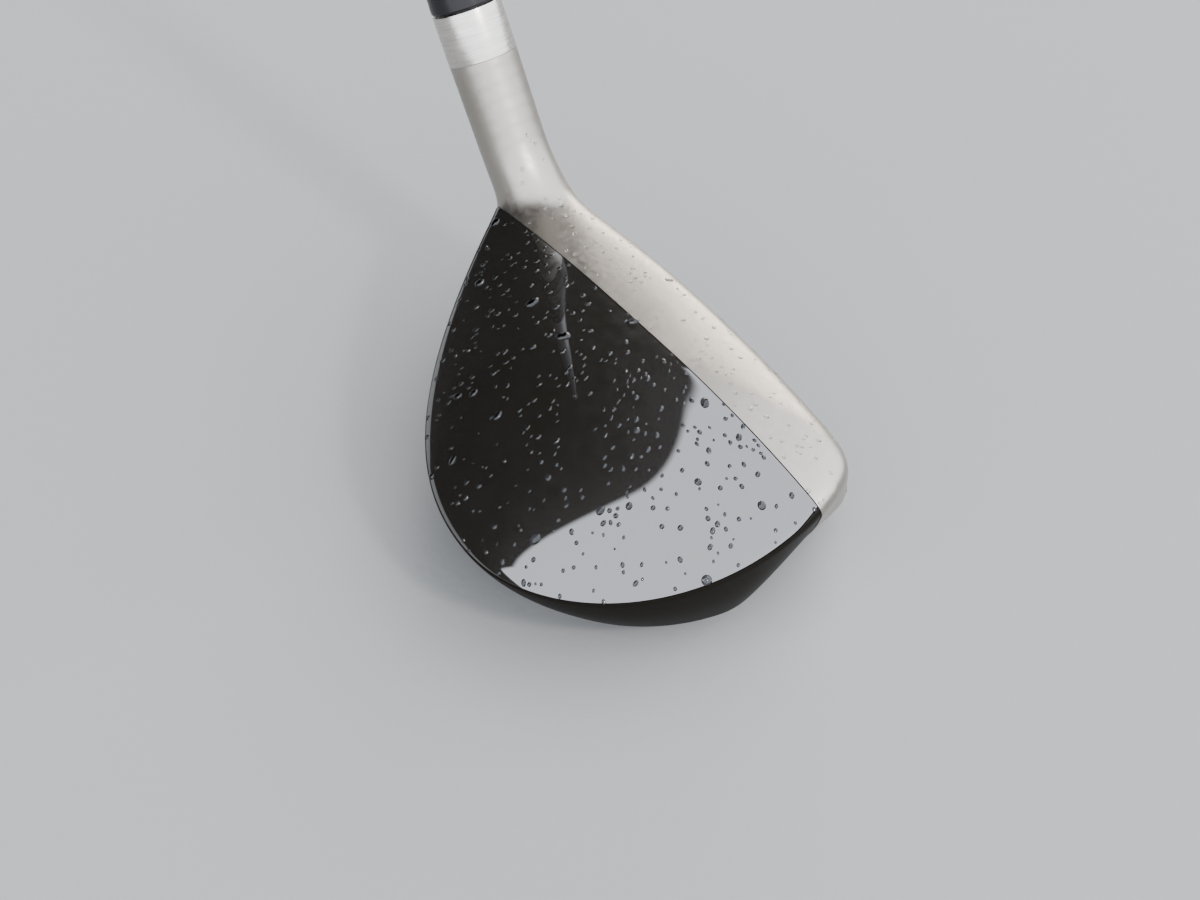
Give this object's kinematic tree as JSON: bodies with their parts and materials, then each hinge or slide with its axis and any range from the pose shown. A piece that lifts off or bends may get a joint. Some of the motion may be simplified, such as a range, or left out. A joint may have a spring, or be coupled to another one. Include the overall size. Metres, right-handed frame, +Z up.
{
  "type": "hybrid golf club",
  "caption": "Right-handed hybrid golf club: hollow steel head with black crown, hosel with collar and ferrule, composite shaft and rubber grip, soled at address.",
  "frame": {"origin": "centre of the flat on the sole, which touches the ground when the club is soled at address", "axes": "+X to the toe, +Y to the target, out of the face, +Z up; the shaft leans 30 degrees from +Z towards -X"},
  "size_m": [0.5971, 0.0748, 0.8842],
  "materials": {
    "blasted_steel": "bead blasted satin",
    "face_steel": "fine vertical milling",
    "turned_steel": "turned, bright",
    "black_lacquer": "high gloss",
    "badge": "anodised satin",
    "ballast": "as cast",
    "hot_melt": "waxy",
    "brass": "turned",
    "ferrule_plastic": "gloss",
    "composite": "clear coated",
    "tape": "crepe paper tape",
    "rubber": "matt"
  },
  "bodies": {
    "club": {"front_body": "blasted_steel", "face_plate": "face_steel", "crown_shell": "black_lacquer", "rear_body": "black_lacquer", "sole_badge": "badge", "weight_port": "turned_steel", "rear_ballast": "ballast", "toe_ballast": "ballast", "hot_melt_pad": "hot_melt", "hosel_stop": "rubber", "tip_weight": "brass", "hosel_collar": "turned_steel", "ferrule": "ferrule_plastic", "shaft": "composite", "grip_tape": "tape", "grip": "rubber", "grip_cap": "rubber"},
    "washer": {"weight_washer": "rubber"},
    "screw": {"weight_screw": "turned_steel"}
  },
  "joints": [
    {"name": "weight_travel", "type": "slide", "parent": "club", "child": "washer", "axis": [0.0747, -0.3344, -0.9395], "range_m": [0, 0.005]},
    {"name": "weight_turn", "type": "hinge", "parent": "washer", "child": "screw", "pos_m": [0.009, -0.017, 0.00228], "axis": [0.0747, -0.3344, -0.9395], "range_deg": [0, 1800]}
  ],
  "couplings": [
    {"joint": "weight_turn", "follows": "weight_travel", "rad_per_m": 6283.2}
  ]
}
